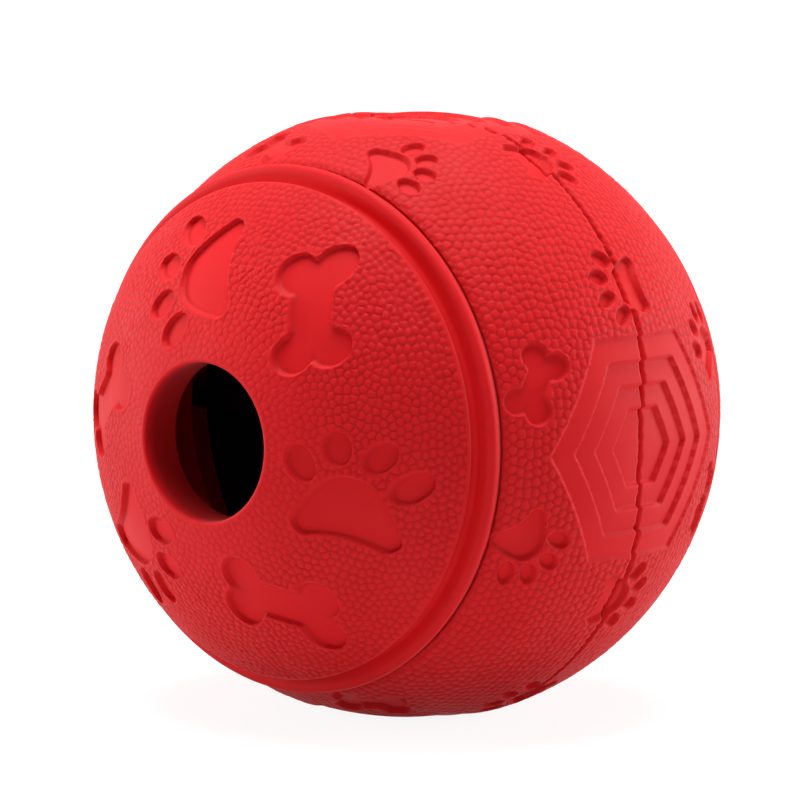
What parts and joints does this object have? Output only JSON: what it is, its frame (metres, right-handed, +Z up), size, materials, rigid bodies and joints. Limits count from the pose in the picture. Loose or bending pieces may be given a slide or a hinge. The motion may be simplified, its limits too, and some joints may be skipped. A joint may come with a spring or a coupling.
{
  "type": "treat dispensing ball",
  "caption": "Hollow pebbled rubber ball that drops kibble through a round hole in a pull-out cap, with hexagon, bone and paw recesses outside and a baffle disc inside.",
  "frame": {"origin": "centre of the ball, on the hole axis in the plane of the middle joint", "axes": "+Z up as the ball stands on its lower hexagon; -Y runs along the hole axis out of the front cap"},
  "size_m": [0.0762, 0.0782, 0.0762],
  "materials": {
    "belt_rubber": "moulded red rubber with a pebble grain",
    "cap_rubber": "moulded red rubber with a pebble grain and a smooth finger groove",
    "maze_rubber": "plain moulded dark red rubber"
  },
  "bodies": {
    "ball": {"front_shell": "belt_rubber", "rear_shell": "belt_rubber", "maze": "maze_rubber"},
    "front_plug": {"front_cap": "cap_rubber"},
    "rear_plug": {"rear_cap": "cap_rubber"}
  },
  "joints": [
    {"name": "front_cap_pull", "type": "slide", "parent": "ball", "child": "front_plug", "axis": [0, -1, 0], "range_m": [0, 0.03]},
    {"name": "rear_cap_pull", "type": "slide", "parent": "ball", "child": "rear_plug", "axis": [0, 1, 0], "range_m": [0, 0.03]}
  ]
}
